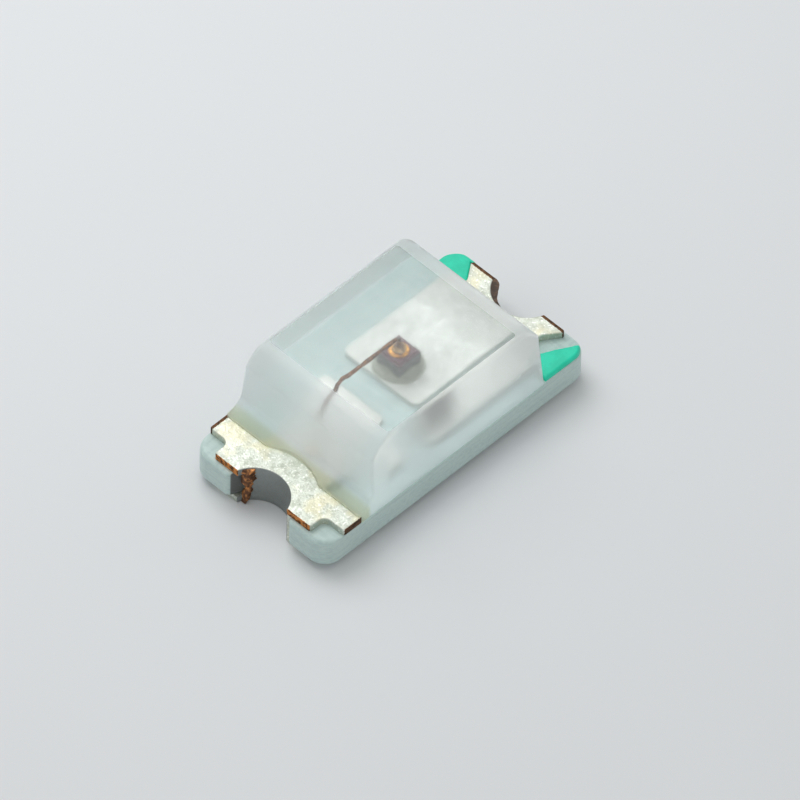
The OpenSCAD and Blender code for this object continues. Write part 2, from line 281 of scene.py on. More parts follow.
def rounded_path(corners, radii, steps=9):
    """Open path whose inner corners are arcs tangent to both sides.

    An arc's centre lies on the corner's bisector at radius / sin(half angle), and its points turn evenly from
    one tangent point to the other. radii has one radius for each inner corner."""
    corners = np.asarray(corners, float)
    radii = np.asarray(radii, float)[:, None]
    inner = corners[1:-1]
    back = unit(corners[:-2] - inner)
    ahead = unit(corners[2:] - inner)
    bisector = unit(back + ahead)
    half_angle = np.arccos((back * bisector).sum(axis=1, keepdims=True))
    centre = inner + bisector * radii / np.sin(half_angle)
    start = inner + back * radii / np.tan(half_angle) - centre
    turn = np.sign(ahead[:, 1] * back[:, 0] - ahead[:, 0] * back[:, 1])[:, None]
    sweep = -turn * (math.pi - 2 * half_angle)
    angles = np.arctan2(start[:, 1], start[:, 0])[:, None] + sweep * np.linspace(0, 1, steps)
    arcs = centre[:, None] + radii[:, :, None] * np.stack([np.cos(angles), np.sin(angles)], axis=-1)
    return np.concatenate([corners[:1], arcs.reshape(-1, 2), corners[-1:]])


def hole_middle(board):
    """Distance of the half holes' middles from the middle of the part."""
    return HALF_LENGTH + board.hole_setout


def mouth_angle(board, radius, end):
    """Angle between straight across the half hole and its edge where its circle meets an end at x."""
    return math.asin((hole_middle(board) - end) / radius)


def half_hole(board, radius, end, steps=72):
    """Points of the half hole at the +X end, from its -Y edge through its inmost point to its +Y edge."""
    mouth = mouth_angle(board, radius, end)
    angles = np.linspace(1.5 * math.pi - mouth, 0.5 * math.pi + mouth, steps)
    return np.column_stack([hole_middle(board) + radius * np.cos(angles), radius * np.sin(angles)])


def flipped(outline):
    """The outline mirrored to the other end, still counter-clockwise."""
    return (outline * [-1, 1])[::-1]


def inset(outline, depth):
    """Closed counter-clockwise outline moved inwards, each point along the bisector of its edges' normals."""
    ahead = unit(np.roll(outline, -1, axis=0) - outline)
    inward = np.column_stack([-ahead[:, 1], ahead[:, 0]])
    before = np.roll(inward, 1, axis=0)
    bisector = unit(inward + before)
    reach = depth / np.maximum((bisector * inward).sum(axis=1, keepdims=True), 0.5)
    return outline + bisector * reach


def waves(position, seed, octaves=5):
    """Smooth uneven signal between about -1 and 1.

    It is a sum of sines of doubling frequency, falling height and seeded phase."""
    fall = 0.7
    spread = 1.6
    phases = np.random.default_rng(seed).uniform(0, 2 * math.pi, octaves)
    powers = 2.0 ** np.arange(octaves)
    return (np.sin(position[..., None] * powers + phases) / powers ** fall).sum(axis=-1) / spread


def smoothstep(low, high, value):
    """Rises from 0 at low to 1 at high as 3 t squared less 2 t cubed."""
    t = np.clip((value - low) / (high - low), 0, 1)
    return t * t * (3 - 2 * t)


# Surfaces

def grid_faces(rows, columns, wrap):
    """Corner numbers of the quads of a grid of points, its columns joined end to end if wrap."""
    row = np.arange(rows - 1)[:, None] * columns
    column = np.arange(columns if wrap else columns - 1)[None, :]
    following = (column + 1) % columns
    corners = [row + column, row + following, row + columns + following, row + columns + column]
    return np.stack(corners, axis=-1).reshape(-1, 4)


def tube(rings):
    """Closed shell of rings of points, (rows, columns, 3), joined by quads, with a face over each end."""
    rows, columns, _ = rings.shape
    faces = grid_faces(rows, columns, True).tolist()
    faces.append(list(range(columns))[::-1])
    faces.append(list(range((rows - 1) * columns, rows * columns)))
    return rings.reshape(-1, 3), faces


def slab(front, back):
    """Closed wall between two grids of points of one shape: both grids and a strip round their border."""
    rows, columns, _ = front.shape
    count = rows * columns
    quads = grid_faces(rows, columns, False)
    index = np.arange(count).reshape(rows, columns)
    border = np.concatenate([index[0, :-1], index[:-1, -1], index[-1, :0:-1], index[:0:-1, 0]])
    following = np.roll(border, -1)
    strip = np.stack([border, border + count, following + count, following], axis=-1)
    points = np.concatenate([front.reshape(-1, 3), back.reshape(-1, 3)])
    return points, np.concatenate([quads, quads[:, ::-1] + count, strip]).tolist()


def plate(outline, bottom, top, top_edge, bottom_edge=0.0, steps=6):
    """Rings of a plate with an outline in plan and round edges.

    Round an edge the outline is inset by edge (1 - cos t), at edge (1 - sin t) from the face, with t from 0
    at the wall to 90 degrees at the face. One more ring a little further in keeps each face flat. An edge is
    one radius, or one for each point."""
    last_ring = 1.3
    turn = np.linspace(0, math.pi / 2, steps)[:, None]
    inward = np.concatenate([1 - np.cos(turn), [[last_ring]]])
    from_face = np.concatenate([1 - np.sin(turn), [[0]]])
    lower = np.broadcast_to(bottom_edge, len(outline)) * inward[::-1], bottom + bottom_edge * from_face[::-1]
    upper = np.broadcast_to(top_edge, len(outline)) * inward, top - top_edge * from_face
    depth, height = [np.concatenate([np.broadcast_to(part, lower[0].shape) for part in parts])
                     for parts in zip(lower, upper)]
    if np.all(bottom_edge == 0):
        depth, height = depth[steps:], height[steps:]
    rings = [np.column_stack([inset(outline, d[:, None]), z]) for d, z in zip(depth, height)]
    return tube(np.stack(rings))


def make_piece(name, shells, finish, nodes=(), sharp=40):
    """Object of closed shells that rides on the part and stands for nodes.

    It is smooth, apart from edges over the sharp angle in degrees."""
    starts = np.cumsum([0] + [len(points) for points, _ in shells]).tolist()
    faces = []
    for (_, shell), start in zip(shells, starts):
        faces += [[corner + start for corner in face] for face in shell]
    mesh = bpy.data.meshes.new(name)
    mesh.from_pydata(np.concatenate([points for points, _ in shells]).tolist(), [], faces)
    surface = bmesh.new()
    surface.from_mesh(mesh)
    bmesh.ops.recalc_face_normals(surface, faces=surface.faces)
    surface.to_mesh(mesh)
    surface.free()
    mesh.shade_smooth()
    mesh.set_sharp_from_angle(angle=math.radians(sharp))
    mesh.materials.append(finish.material)
    piece = bpy.data.objects.new(name, mesh)
    bpy.context.scene.collection.objects.link(piece)
    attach(piece, BODY)
    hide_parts(*nodes)
    return piece


def dress(node, finish):
    """Gives a solid of the frame its finish."""
    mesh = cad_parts[node].data
    mesh.materials.clear()
    mesh.materials.append(finish.material)


# Finishes

class Value:
    """A socket of a finish. Arithmetic on it adds Math nodes to the finish's tree."""

    def __init__(self, finish, socket):
        self.finish = finish
        self.socket = socket

    def math(self, operation, first, second=0.0):
        return self.finish.node("ShaderNodeMath", {"operation": operation}, {0: first, 1: second})

    def __add__(self, other):
        return self.math("ADD", self, other)

    def __sub__(self, other):
        return self.math("SUBTRACT", self, other)

    def __rsub__(self, other):
        return self.math("SUBTRACT", other, self)

    def __mul__(self, other):
        return self.math("MULTIPLY", self, other)

    def __pow__(self, other):
        return self.math("POWER", self, other)

    def __rpow__(self, other):
        return self.math("POWER", other, self)

    def __abs__(self):
        return self.math("ABSOLUTE", self)

    def __gt__(self, other):
        return self.math("GREATER_THAN", self, other)

    def __or__(self, other):
        return self.math("MAXIMUM", self, other)

    __radd__ = __add__
    __rmul__ = __mul__
    __ror__ = __or__


class Finish:
    """Node tree of a material or world, written as expressions."""

    def __init__(self, owner):
        owner.use_nodes = True
        self.material = owner
        self.tree = owner.node_tree

    def node(self, kind, settings=None, inputs=None, output=0):
        """Adds a node: its settings first, then the values or links of its sockets. Returns one output."""
        made = self.tree.nodes.new(kind)
        for name, setting in (settings or {}).items():
            setattr(made, name, setting)
        for name, value in (inputs or {}).items():
            self.feed(made.inputs[name], value)
        return Value(self, made.outputs[output])

    def feed(self, socket, value):
        """Links a value to a socket, or sets the socket to a number or colour."""
        if isinstance(value, Value):
            self.tree.links.new(value.socket, socket)
        elif socket.type == "RGBA" and len(value) == 3:
            socket.default_value = (*value, 1)
        else:
            socket.default_value = value

    def place(self):
        """Object coordinates."""
        return self.node("ShaderNodeTexCoord", output="Object")

    def axes(self):
        """Object coordinates along X, Y and Z."""
        split = self.node("ShaderNodeSeparateXYZ", inputs={0: self.place()})
        return [Value(self, socket) for socket in split.socket.node.outputs]

    def noise(self, size, detail=3.0, stretch=(1, 1, 1), shift=0.0, roughness=0.55):
        """Noise of about 0 to 1 with features of a size in metres, finer along an axis by its stretch."""
        moved = self.node("ShaderNodeMapping", inputs={
            "Vector": self.place(), "Location": (shift, shift, shift),
            "Scale": tuple(axis / size for axis in stretch)})
        return self.node("ShaderNodeTexNoise", inputs={
            "Vector": moved, "Scale": 1.0, "Detail": detail, "Roughness": roughness})

    def ramp(self, value, low, high, start=0.0, end=1.0):
        """Runs smoothly from start to end as value goes from low to high."""
        return self.node("ShaderNodeMapRange", {"interpolation_type": "SMOOTHSTEP"},
                         {"Value": value, "From Min": low, "From Max": high, "To Min": start, "To Max": end})

    def fade(self, value, low, high):
        """Falls smoothly from 1 to 0 as value goes from low to high."""
        return self.ramp(value, low, high, 1, 0)

    def sheen(self, noise, start, end):
        """Roughness from start to end over the middle of a noise's range."""
        return self.ramp(noise, 0.3, 0.7, start, end)

    def mix(self, factor, first, second):
        """Colour from first to second by a factor."""
        return self.node("ShaderNodeMix", {"data_type": "RGBA"}, {0: factor, 6: first, 7: second}, output=2)

    def patches(self, value, low, high, first, second):
        """Colour from first to second as value goes from low to high."""
        return self.mix(self.ramp(value, low, high), first, second)

    def bump(self, height, distance):
        """Normal of a surface raised by height times a distance in metres."""
        return self.node("ShaderNodeBump", inputs={"Height": height, "Distance": distance, "Strength": 1.0})

    def surface(self, **sockets):
        """Sets the Principled shader's sockets, named in lower case with _ for spaces."""
        shader = self.tree.nodes["Principled BSDF"]
        for name, value in sockets.items():
            socket = next(s for s in shader.inputs if s.name.lower().replace(" ", "_") == name)
            self.feed(socket, value)
        return self

    def pass_light(self, share):
        """Lets a share of the lamps' light straight through to what lies behind."""
        shader = Value(self, self.tree.nodes["Principled BSDF"].outputs[0])
        at_shadow = self.node("ShaderNodeLightPath", output="Is Shadow Ray") * share
        clear = self.node("ShaderNodeBsdfTransparent")
        mixed = self.node("ShaderNodeMixShader", inputs={0: at_shadow, 1: shader, 2: clear})
        self.feed(self.tree.nodes["Material Output"].inputs["Surface"], mixed)
        return self


def new_finish(name):
    """Finish of a new material."""
    return Finish(bpy.data.materials.new(name))


def laminate_finish(colours, board):
    """Pale glass-fibre board: crossed fibres, layers on the sides, and the wall in the torn half hole painted
    dark grey as shade.
    """
    made = new_finish("laminate")
    x, y, _ = made.axes()
    fibre_size = 0.03 * MM
    along = made.noise(fibre_size, 2, (0.12, 1.6, 3))
    across = made.noise(fibre_size, 2, (1.6, 0.12, 3), 0.7)
    cloud = made.noise(0.2 * MM, 2)
    fibre = made.ramp(along * 0.5 + across * 0.5, 0.42, 0.62) * 0.6 + cloud * 0.25
    from_hole = ((x + hole_middle(board)) ** 2 + y ** 2) ** 0.5
    wall_radius = board.hole_radius + board.barrel_wall
    # Painted shade: the laminate at the torn half hole's wall is mixed to dark grey.
    wall = made.fade(from_hole, wall_radius + 0.003 * MM, wall_radius + 0.006 * MM)
    base = made.mix(wall, made.mix(fibre, colours.laminate, colours.fibre), colours.painted_shade_hole_wall)
    return made.surface(base_color=base, roughness=made.sheen(cloud, 0.36, 0.5), subsurface_weight=0.35,
                        subsurface_scale=0.04 * MM, subsurface_radius=(1, 1, 0.9), ior=RESIN_IOR,
                        normal=made.bump(along + across, 0.0012 * MM))


def plating_finish(colours, board):
    """Bright grained plating with dull and yellowish patches and painted white glints.

    It is painted dim in the half holes as shade. Under the lens it takes an even painted tone, set for how
    bright it shows through the resin, and is duller. The lands' cut edges are bare copper, in a band that is
    wider at +X and +Y, grey along the sides, and at +X darker grey as painted shade."""
    made = new_finish("plating")
    x, y, z = made.axes()
    grain = made.noise(0.009 * MM, 3)
    patch = made.noise(0.04 * MM, 4, shift=0.3, roughness=0.7)
    stain = made.noise(0.12 * MM, 2, shift=0.9)
    bright = made.patches(patch * 0.7 + grain * 0.3, 0.42, 0.64, colours.plating, colours.plating_grey)
    metal = made.mix(made.ramp(stain, 0.5, 0.68, 0, 0.8), bright, colours.plating_warm)
    from_hole = ((abs(x) - hole_middle(board)) ** 2 + y ** 2) ** 0.5
    # Painted shade: the plating in the half holes is mixed towards the dim barrel colour.
    hole_painted_shade = made.fade(from_hole, board.hole_radius + 0.001 * MM, board.hole_radius + 0.003 * MM)
    on_top = made.ramp(z, LAMINATE_TOP - 0.002 * MM, LAMINATE_TOP + 0.002 * MM)
    # Painted highlight: white specks mixed into the plating's colour as glints.
    painted_glint = made.ramp(made.noise(0.013 * MM, 1, shift=0.2), 0.6, 0.7)
    # Painted light: under the lens the plating's colour is one even tone, set for how bright it shows through
    # the resin.
    painted_under_lens = made.fade(abs(x), LENS_HIGH.x - 0.01 * MM, LENS_HIGH.x) * on_top
    metal = made.mix(painted_glint * 0.55, made.mix(painted_under_lens, metal, colours.painted_under_lens), colours.plating_painted_glint)
    metal = made.mix(hole_painted_shade, metal, colours.barrel)
    uneven = (grain - 0.5) * (0.008 * MM)
    # The band is wider at +Y and at +X, where its dark grey is painted shade.
    wider = 0.014 * MM
    from_side = HALF_WIDTH - abs(y) + uneven - (y > 0.0) * wider
    from_end = LAND_END - abs(x) + uneven - (x > 0.0) * wider
    at_side, at_end = [made.fade(depth, 0.002 * MM, 0.004 * MM) for depth in (from_side, from_end)]
    cut = (at_side | at_end) * on_top
    tarnish = made.noise(0.02 * MM, 4, shift=0.5)
    # Dark grey copper along the sides, and at +X as painted shade.
    smeared = at_side | (x > 0.0)
    copper = made.patches(tarnish, 0.42, 0.62, colours.copper, colours.copper_dark)
    copper = made.mix(smeared * 0.85, copper, colours.grey_copper_and_shade)
    dull = made.ramp(patch, 0.35, 0.65, 0.46, 0.6) + painted_under_lens * 0.08
    return made.surface(base_color=made.mix(cut, metal, copper), metallic=1.0, roughness=dull | (cut * 0.55),
                        normal=made.bump(grain + patch * 2, 0.0016 * MM))


def copper_finish(colours):
    """Torn copper: tarnished with brighter orange ridges at the anode, and dark grey at the cathode as
    painted shade.
    """
    made = new_finish("copper")
    x, _, _ = made.axes()
    tarnish = made.noise(0.022 * MM, 4)
    base = made.patches(tarnish, 0.46, 0.68, colours.copper_dark, colours.copper)
    # Painted shade: the cathode's lip at +X is mixed towards dark grey.
    base = made.mix((x > 0.0) * 0.9, base, colours.grey_copper_and_shade)
    return made.surface(base_color=base, metallic=0.4, roughness=made.sheen(tarnish, 0.62, 0.4),
                        normal=made.bump(tarnish, 0.006 * MM))


def ink_finish(colours):
    """Green print with slightly thicker patches."""
    made = new_finish("ink")
    patch = made.noise(0.07 * MM, 3)
    base = made.patches(patch, 0.35, 0.7, colours.ink, colours.ink_dark)
    return made.surface(base_color=base, roughness=made.sheen(patch, 0.34, 0.48), ior=RESIN_IOR,
                        normal=made.bump(made.noise(0.02 * MM, 2), 0.001 * MM))


def die_finish(colours):
    """Sawn crystal: dark streaked sides with pale chips, and a violet etched top."""
    made = new_finish("die")
    _, _, z = made.axes()
    streak = made.noise(0.02 * MM, 3, (1, 1, 0.3))
    chips = made.ramp(made.noise(0.013 * MM, 2, shift=0.4), 0.6, 0.68)
    side = made.mix(made.ramp(streak, 0.35, 0.7, 0, 0.5) | chips, colours.die_side, colours.die_pale)
    top = made.ramp(z, DIE_HIGH.z - 0.024 * MM, DIE_HIGH.z - 0.01 * MM)
    return made.surface(base_color=made.mix(top, side, colours.die_top),
                        roughness=made.sheen(streak, 0.3, 0.5), normal=made.bump(streak, 0.002 * MM))


def gold_patches(made, noise, colours):
    """Gold with scuffed patches."""
    return made.patches(noise, 0.4, 0.65, colours.gold, colours.gold_dark)


def gold_finish(colours):
    """Soft gold of the contact, with dull patches."""
    made = new_finish("gold")
    patch = made.noise(0.03 * MM, 3)
    return made.surface(base_color=gold_patches(made, patch, colours), metallic=1.0,
                        roughness=made.sheen(patch, 0.24, 0.42), normal=made.bump(patch, 0.0036 * MM))


def adhesive_finish(colours):
    """Grey-green paste of metal flakes."""
    made = new_finish("adhesive")
    flake = made.noise(0.012 * MM, 3)
    base = made.patches(flake, 0.4, 0.65, colours.adhesive, colours.adhesive_dark)
    return made.surface(base_color=base, roughness=made.sheen(flake, 0.42, 0.6),
                        normal=made.bump(flake, 0.003 * MM))


def wire_finish(colours):
    """Dull wire with dark patches, gold at its ball, and painted pale towards its stitch as the resin's
    scattered light.
    """
    made = new_finish("wire")
    x, _, z = made.axes()
    patch = made.noise(0.02 * MM, 3)
    base = made.patches(patch, 0.4, 0.65, colours.wire, colours.wire_dark)
    near_die = made.fade(z, DIE_HIGH.z + 0.04 * MM, DIE_HIGH.z + 0.06 * MM)
    ball = near_die * made.ramp(x, DIE_X - 0.045 * MM, DIE_X - 0.03 * MM)
    base = made.mix(ball, base, gold_patches(made, patch, colours))
    # Painted haze: low down the wire is mixed to pale, for the light scattered in the resin.
    low = made.fade(z, 0.06 * MM, 0.16 * MM)
    return made.surface(base_color=made.mix(low, base, colours.wire_painted_haze), metallic=1.0,
                        roughness=made.sheen(patch, 0.3, 0.45), normal=made.bump(patch, 0.0024 * MM))


def resin_finish(colours, name, clear, polish):
    """Milky frosted resin, haziest low on the front wall and yellowish where the foot runs out thin.

    clear is the share of the light that goes through rather than scattering inside, and polish what is taken
    off the roughness."""
    made = new_finish(name)
    x, _, z = made.axes()
    low = made.fade(z, LAMINATE_TOP + 0.045 * MM, LAMINATE_TOP + 0.1 * MM)
    foot = low * made.fade(x, -0.545 * MM, -0.515 * MM)
    cloud = made.noise(0.3 * MM, 2)
    frost = made.noise(0.007 * MM, 2)
    front = made.fade(x, -0.46 * MM, -0.38 * MM)
    hazy = front * made.fade(z, 0.17 * MM, 0.24 * MM)
    rough = made.sheen(cloud, 0.42, 0.48) + hazy * 0.4 - polish
    made.surface(base_color=made.mix(foot * 0.8, colours.resin, colours.resin_thin), roughness=rough,
                 transmission_weight=clear, ior=RESIN_IOR, subsurface_weight=0.8, subsurface_scale=0.25 * MM,
                 subsurface_radius=(1, 1, 1), normal=made.bump(frost, 0.0004 * MM))
    return made.pass_light(0.8)


def floor_finish(colours):
    """Pale matt floor with a faint cloudiness."""
    made = new_finish("floor")
    cloud = made.noise(2 * MM, 3)
    dim = tuple(channel * 0.97 for channel in colours.floor)
    return made.surface(base_color=made.mix(cloud, colours.floor, dim), roughness=0.8)


# Pieces

def cut_corners(terminal, tail):
    """Corners and radii of a land at the +X end, up one side: end face, bare corner and the land's tail."""
    width = terminal.end_width / 2
    sharp = [terminal.cut_radius] * (len(tail) - 1)
    corners = [(LAND_END, width), (HALF_LENGTH - terminal.bare_corner, width), *tail]
    return corners, [terminal.cut_radius, terminal.corner_radius, *sharp, terminal.corner_radius]


def mirrored_sides(corners, radii, board):
    """Closed land outline at the +X end: the corners of its +Y side, their mirror image and the half hole."""
    hole = half_hole(board, board.hole_radius, LAND_END)
    lower = [(x, -y) for x, y in reversed(corners)]
    path = [tuple(hole[-1]), *corners, *lower, tuple(hole[0])]
    return np.concatenate([rounded_path(path, radii + radii[::-1]), hole[1:-1]])


def anode_outline(terminal, board, inner):
    """Top land of the anode at the +X end: full-width strip with bare corners, and a tongue inwards."""
    edge = HALF_LENGTH - terminal.bare_corner
    strip = terminal.anode_strip
    tongue = terminal.anode_tongue / 2
    tail = [(edge, HALF_WIDTH), (strip, HALF_WIDTH), (strip, tongue), (inner, tongue)]
    return mirrored_sides(*cut_corners(terminal, tail), board)


def cathode_outline(terminal, board, inner):
    """Top land of the cathode: a wide tongue from the inner edge that flares out to the end face."""
    tongue = terminal.cathode_tongue / 2
    flare = LAND_END - terminal.cathode_flare
    corners = [(LAND_END, terminal.end_width / 2), (flare, tongue), (inner, tongue)]
    radii = [terminal.cut_radius, terminal.corner_radius, terminal.corner_radius]
    return mirrored_sides(corners, radii, board)


def pad_outline(terminal, board):
    """Solder pad at the +X end, inset from the long edges and cut back at the board's corners."""
    side = HALF_WIDTH - terminal.pad_inset
    inner = HALF_LENGTH - terminal.pad_length
    tail = [(HALF_LENGTH - terminal.bare_corner, side), (inner, side)]
    return mirrored_sides(*cut_corners(terminal, tail), board)


def barrel_point(board, radius, turn, height, end):
    """Point of the half hole at the end of sign end, at a radius and a turn from the -Y direction."""
    around = 1.5 * math.pi - turn
    x = end * np.minimum(hole_middle(board) + radius * np.cos(around), LAND_END)
    return np.stack(np.broadcast_arrays(x, radius * np.sin(around), height), axis=-1)


def torn_edge(height, terminal):
    """Turn from straight across at which the torn plating ends, uneven with height."""
    return math.pi - terminal.torn_angle + terminal.torn_ragged * waves(height / TORN_WAVE, 7)


def barrel(board, end, last_turn):
    """Wall of plating round a half hole between the two copper layers, up to a turn given for each height."""
    height = np.linspace(LAMINATE_BOTTOM, LAMINATE_TOP, len(last_turn))[None, :]
    share = np.linspace(0, 1, 90)[:, None]
    first = mouth_angle(board, board.hole_radius, LAND_END)
    turn = first + share * (last_turn[None, :] - first)
    outside = board.hole_radius + board.barrel_wall
    return slab(barrel_point(board, board.hole_radius, turn, height, end),
                barrel_point(board, outside, turn, height, end))


def burr(board, terminal, last_turn):
    """Lip of torn copper along the barrel's edge.

    Its width wavers and doubles from the bottom to the top. Across its width it swells into the hole by burr
    lift times a half sine, uneven along its height. Behind, it reaches part of the way through the barrel."""
    bottom = SOLDER_PLANE + 0.004 * MM
    top = BOARD_TOP - 0.006 * MM
    height = np.linspace(bottom, top, len(last_turn))[None, :]
    across = np.linspace(0, 1, 24)[:, None]
    level = height / BURR_WAVE
    share = (height - height.min()) / (height.max() - height.min())
    width = terminal.burr_width * (0.5 + 0.5 * share + 0.22 * waves(level, 3)) / board.hole_radius
    turn = last_turn[None, :] - 0.7 * width + across * width
    swell = np.sin(math.pi * across) ** 0.8 * (0.62 + 0.38 * waves(level * 1.3 + across * 2.5, 11))
    front = barrel_point(board, board.hole_radius - terminal.burr_lift * swell, turn, height, -1)
    back = barrel_point(board, board.hole_radius + 0.6 * board.barrel_wall, turn, height, -1)
    return slab(front, back)


def lip(board, terminal):
    """Dark lip of copper along an edge of the cathode's half hole: a crescent that thins downwards.

    It stands partly for cut copper and partly for the shade along the hole's edge, and its finish paints it
    dark grey.
    """
    mouth = mouth_angle(board, board.hole_radius, LAND_END)
    share = np.linspace(0, 1, 70)[:, None]
    level = np.linspace(0, 1, 14)[None, :]
    turn = math.pi - mouth - share * terminal.lip_sweep
    top = BOARD_TOP - 0.003 * MM
    height = top - terminal.lip_height * (1 - level)
    crescent = np.sin(math.pi * np.sqrt(share))
    thinning = np.sqrt(1 - (1 - level) ** 2)
    swell = crescent * thinning * (0.9 + 0.1 * waves(share * 9, 5))
    front = barrel_point(board, board.hole_radius - terminal.lip_reach * swell, turn, height, 1)
    back = barrel_point(board, board.hole_radius + 0.3 * board.barrel_wall, turn, height, 1)
    return slab(front, back)


def top_edge_radius(board, along):
    """Radius of the board's top edge: the edge radius on the long sides, the end radius at the ends."""
    at_end = smoothstep(HALF_LENGTH - 0.1 * MM, HALF_LENGTH - 0.03 * MM, along)
    return board.edge_radius + at_end * (board.end_radius - board.edge_radius)


def laminate_shell(board):
    """Board with round corners and a half hole, the size of the barrel's outside, in each end.

    From each half hole a tangent line leads to the end face, with a round corner between. The end radius of
    the top edge fades out towards the half hole."""
    radius = board.hole_radius + board.barrel_wall
    arc_end = HALF_LENGTH - 1.6 * board.mouth_radius
    hole = half_hole(board, radius, arc_end)
    run = [HALF_LENGTH, hole[-1, 1] + (HALF_LENGTH - arc_end) * math.tan(mouth_angle(board, radius, arc_end))]
    corners = [tuple(hole[-1]), tuple(run), (HALF_LENGTH, HALF_WIDTH)]
    corners += [(-x, y) for x, y in reversed(corners)]
    radii = [board.mouth_radius, board.corner_radius]
    upper = rounded_path(corners, radii + radii[::-1], 24)
    outline = np.concatenate([upper, flipped(hole)[1:-1], -upper, hole[1:-1]])
    along, across = np.abs(outline).T
    from_hole = smoothstep(hole[-1, 1] + 0.01 * MM, hole[-1, 1] + 0.05 * MM, across)
    top_edge = board.edge_radius + from_hole * (top_edge_radius(board, along) - board.edge_radius)
    return plate(outline, LAMINATE_BOTTOM, LAMINATE_TOP, top_edge, board.edge_radius)


def board_face(board, along, across):
    """Height of the board's top at a place beside the lands, where it drops over its round edge.

    At a depth inside the outline that is less than the edge's radius, the rest is the radius less the depth,
    and the drop is the radius less the root of the radius squared less the rest squared."""
    beyond_x = np.clip(along - HALF_LENGTH + board.corner_radius, 0, None)
    beyond_y = np.clip(across - HALF_WIDTH + board.corner_radius, 0, None)
    reach = np.hypot(beyond_x, beyond_y)
    turned = HALF_LENGTH - board.corner_radius + board.corner_radius * beyond_x / np.maximum(reach, 1e-9)
    radius = top_edge_radius(board, np.where(beyond_x > 0, turned, along))
    rest = np.clip(radius - board.corner_radius + reach, 0, radius)
    return LAMINATE_TOP - radius + np.sqrt(radius ** 2 - rest ** 2)


def adhesive_shell(die):
    """Spot of adhesive: a thin round bed whose rim wanders, rising to the die as a falling exponential."""
    around = np.linspace(0, 2 * math.pi, 96, endpoint=False)[None, :]
    share = np.concatenate([np.linspace(1, 0.985, 3), np.linspace(0.97, 0.5, 40)])[:, None]
    rim = die.attach_radius * (1 + 0.018 * np.sin(3 * around + 0.6) + 0.012 * np.sin(5 * around))
    radius = rim * share
    bed = die.bond_line * smoothstep(1.0, 0.93, share)
    half_die = (DIE_HIGH.x - DIE_LOW.x) / 2
    fall_length = 0.012 * MM
    climb = die.fillet_rise * np.exp(-np.clip(radius - half_die, 0, None) / fall_length)
    height = BOARD_TOP + bed + climb * smoothstep(1.0, 0.9, share)
    x = DIE_X + radius * np.cos(around)
    y = radius * np.sin(around)
    return tube(np.stack(np.broadcast_arrays(x, y, height), axis=-1))


def contact_shell(die):
    """Round contact with a rounded rim, up to the top of its solid."""
    around = np.linspace(0, 2 * math.pi, 72, endpoint=False)
    radius = (CONTACT_HIGH.x - CONTACT_LOW.x) / 2
    outline = np.column_stack([DIE_X + radius * np.cos(around), radius * np.sin(around)])
    return plate(outline, CONTACT_LOW.z, CONTACT_HIGH.z, die.contact_edge)


def arc(centre_x, centre_z, radius, start, end, steps=40):
    """Points of an arc in the XZ plane, from a start to an end angle."""
    angles = np.linspace(start, end, steps)
    return np.column_stack([centre_x + radius * np.cos(angles), centre_z + radius * np.sin(angles)])


def wire_route(die):
    """Wire's axis in the XZ plane, and the run along it at each point.

    It goes up from the ball, level, down at the fall angle and flat along the anode tongue."""
    loop_z = WIRE_HIGH.z - die.wire_diameter / 2
    stitch_x = WIRE_LOW.x + die.stitch_radius
    rest_z = BOARD_TOP + die.stitch_height
    slope = die.fall_angle
    bend = die.fall_bend
    foot = die.wire_diameter
    drop = loop_z - rest_z - (bend + foot) * (1 - math.cos(slope))
    turn_x = stitch_x + (bend + foot) * math.sin(slope) + drop / math.tan(slope)
    rise = arc(DIE_X - die.rise_bend, loop_z - die.rise_bend, die.rise_bend, 0, math.pi / 2)
    fall = arc(turn_x, loop_z - bend, bend, math.pi / 2, math.pi / 2 + slope)
    land = arc(stitch_x, rest_z + foot, foot, slope - math.pi / 2, -math.pi / 2)
    tail = [(stitch_x - die.stitch_radius, rest_z)]
    corners = np.concatenate([[(DIE_X, CONTACT_HIGH.z)], rise, fall, land, tail])
    run = np.concatenate([[0], np.cumsum(np.linalg.norm(np.diff(corners, axis=0), axis=1))])
    even = np.linspace(0, run[-1], 420)
    return np.column_stack([np.interp(even, run, corners[:, 0]), np.interp(even, run, corners[:, 1])]), even


def wire_shell(die):
    """Bond wire: an ellipse carried along its route.

    Its radius is the ball's circle over the contact and then the wire's, uneven as drawn wire is. Over the
    stitch it widens to the stitch's half width and thins to its half thickness. Past its span it wavers a
    little from side to side."""
    route, run = wire_route(die)
    share = run / run[-1]
    wire = die.wire_diameter / 2 * (1 + 0.16 * waves(run / WIRE_WAVE, 17, 3))
    past_span = smoothstep(0.45, 0.6, share) * smoothstep(0.98, 0.9, share)
    sway = 0.35 * die.wire_diameter * past_span * waves(run / SWAY_WAVE, 9, 3)
    ball = np.sqrt(np.clip(die.ball_radius ** 2 - (run - die.ball_lift) ** 2, 0, None))
    flat = smoothstep(run[-1] - 2.4 * die.stitch_radius, run[-1] - 0.9 * die.stitch_radius, run)
    blunt = np.sqrt(np.clip(1 - ((run - run[-1]) / die.stitch_radius + 1).clip(0, 0.97) ** 2, 0, None))
    wide = np.maximum(wire + flat * (die.stitch_radius - wire), ball) * blunt
    high = np.maximum(wire + flat * (die.stitch_height - wire), ball)
    ahead = unit(np.gradient(route, axis=0))
    around = np.linspace(0, 2 * math.pi, 20, endpoint=False)[None, :]
    lift = high[:, None] * np.sin(around)
    x = route[:, :1] - ahead[:, 1:] * lift
    z = route[:, 1:] + ahead[:, :1] * lift
    return tube(np.stack([x, sway[:, None] + wide[:, None] * np.cos(around), z], axis=-1))


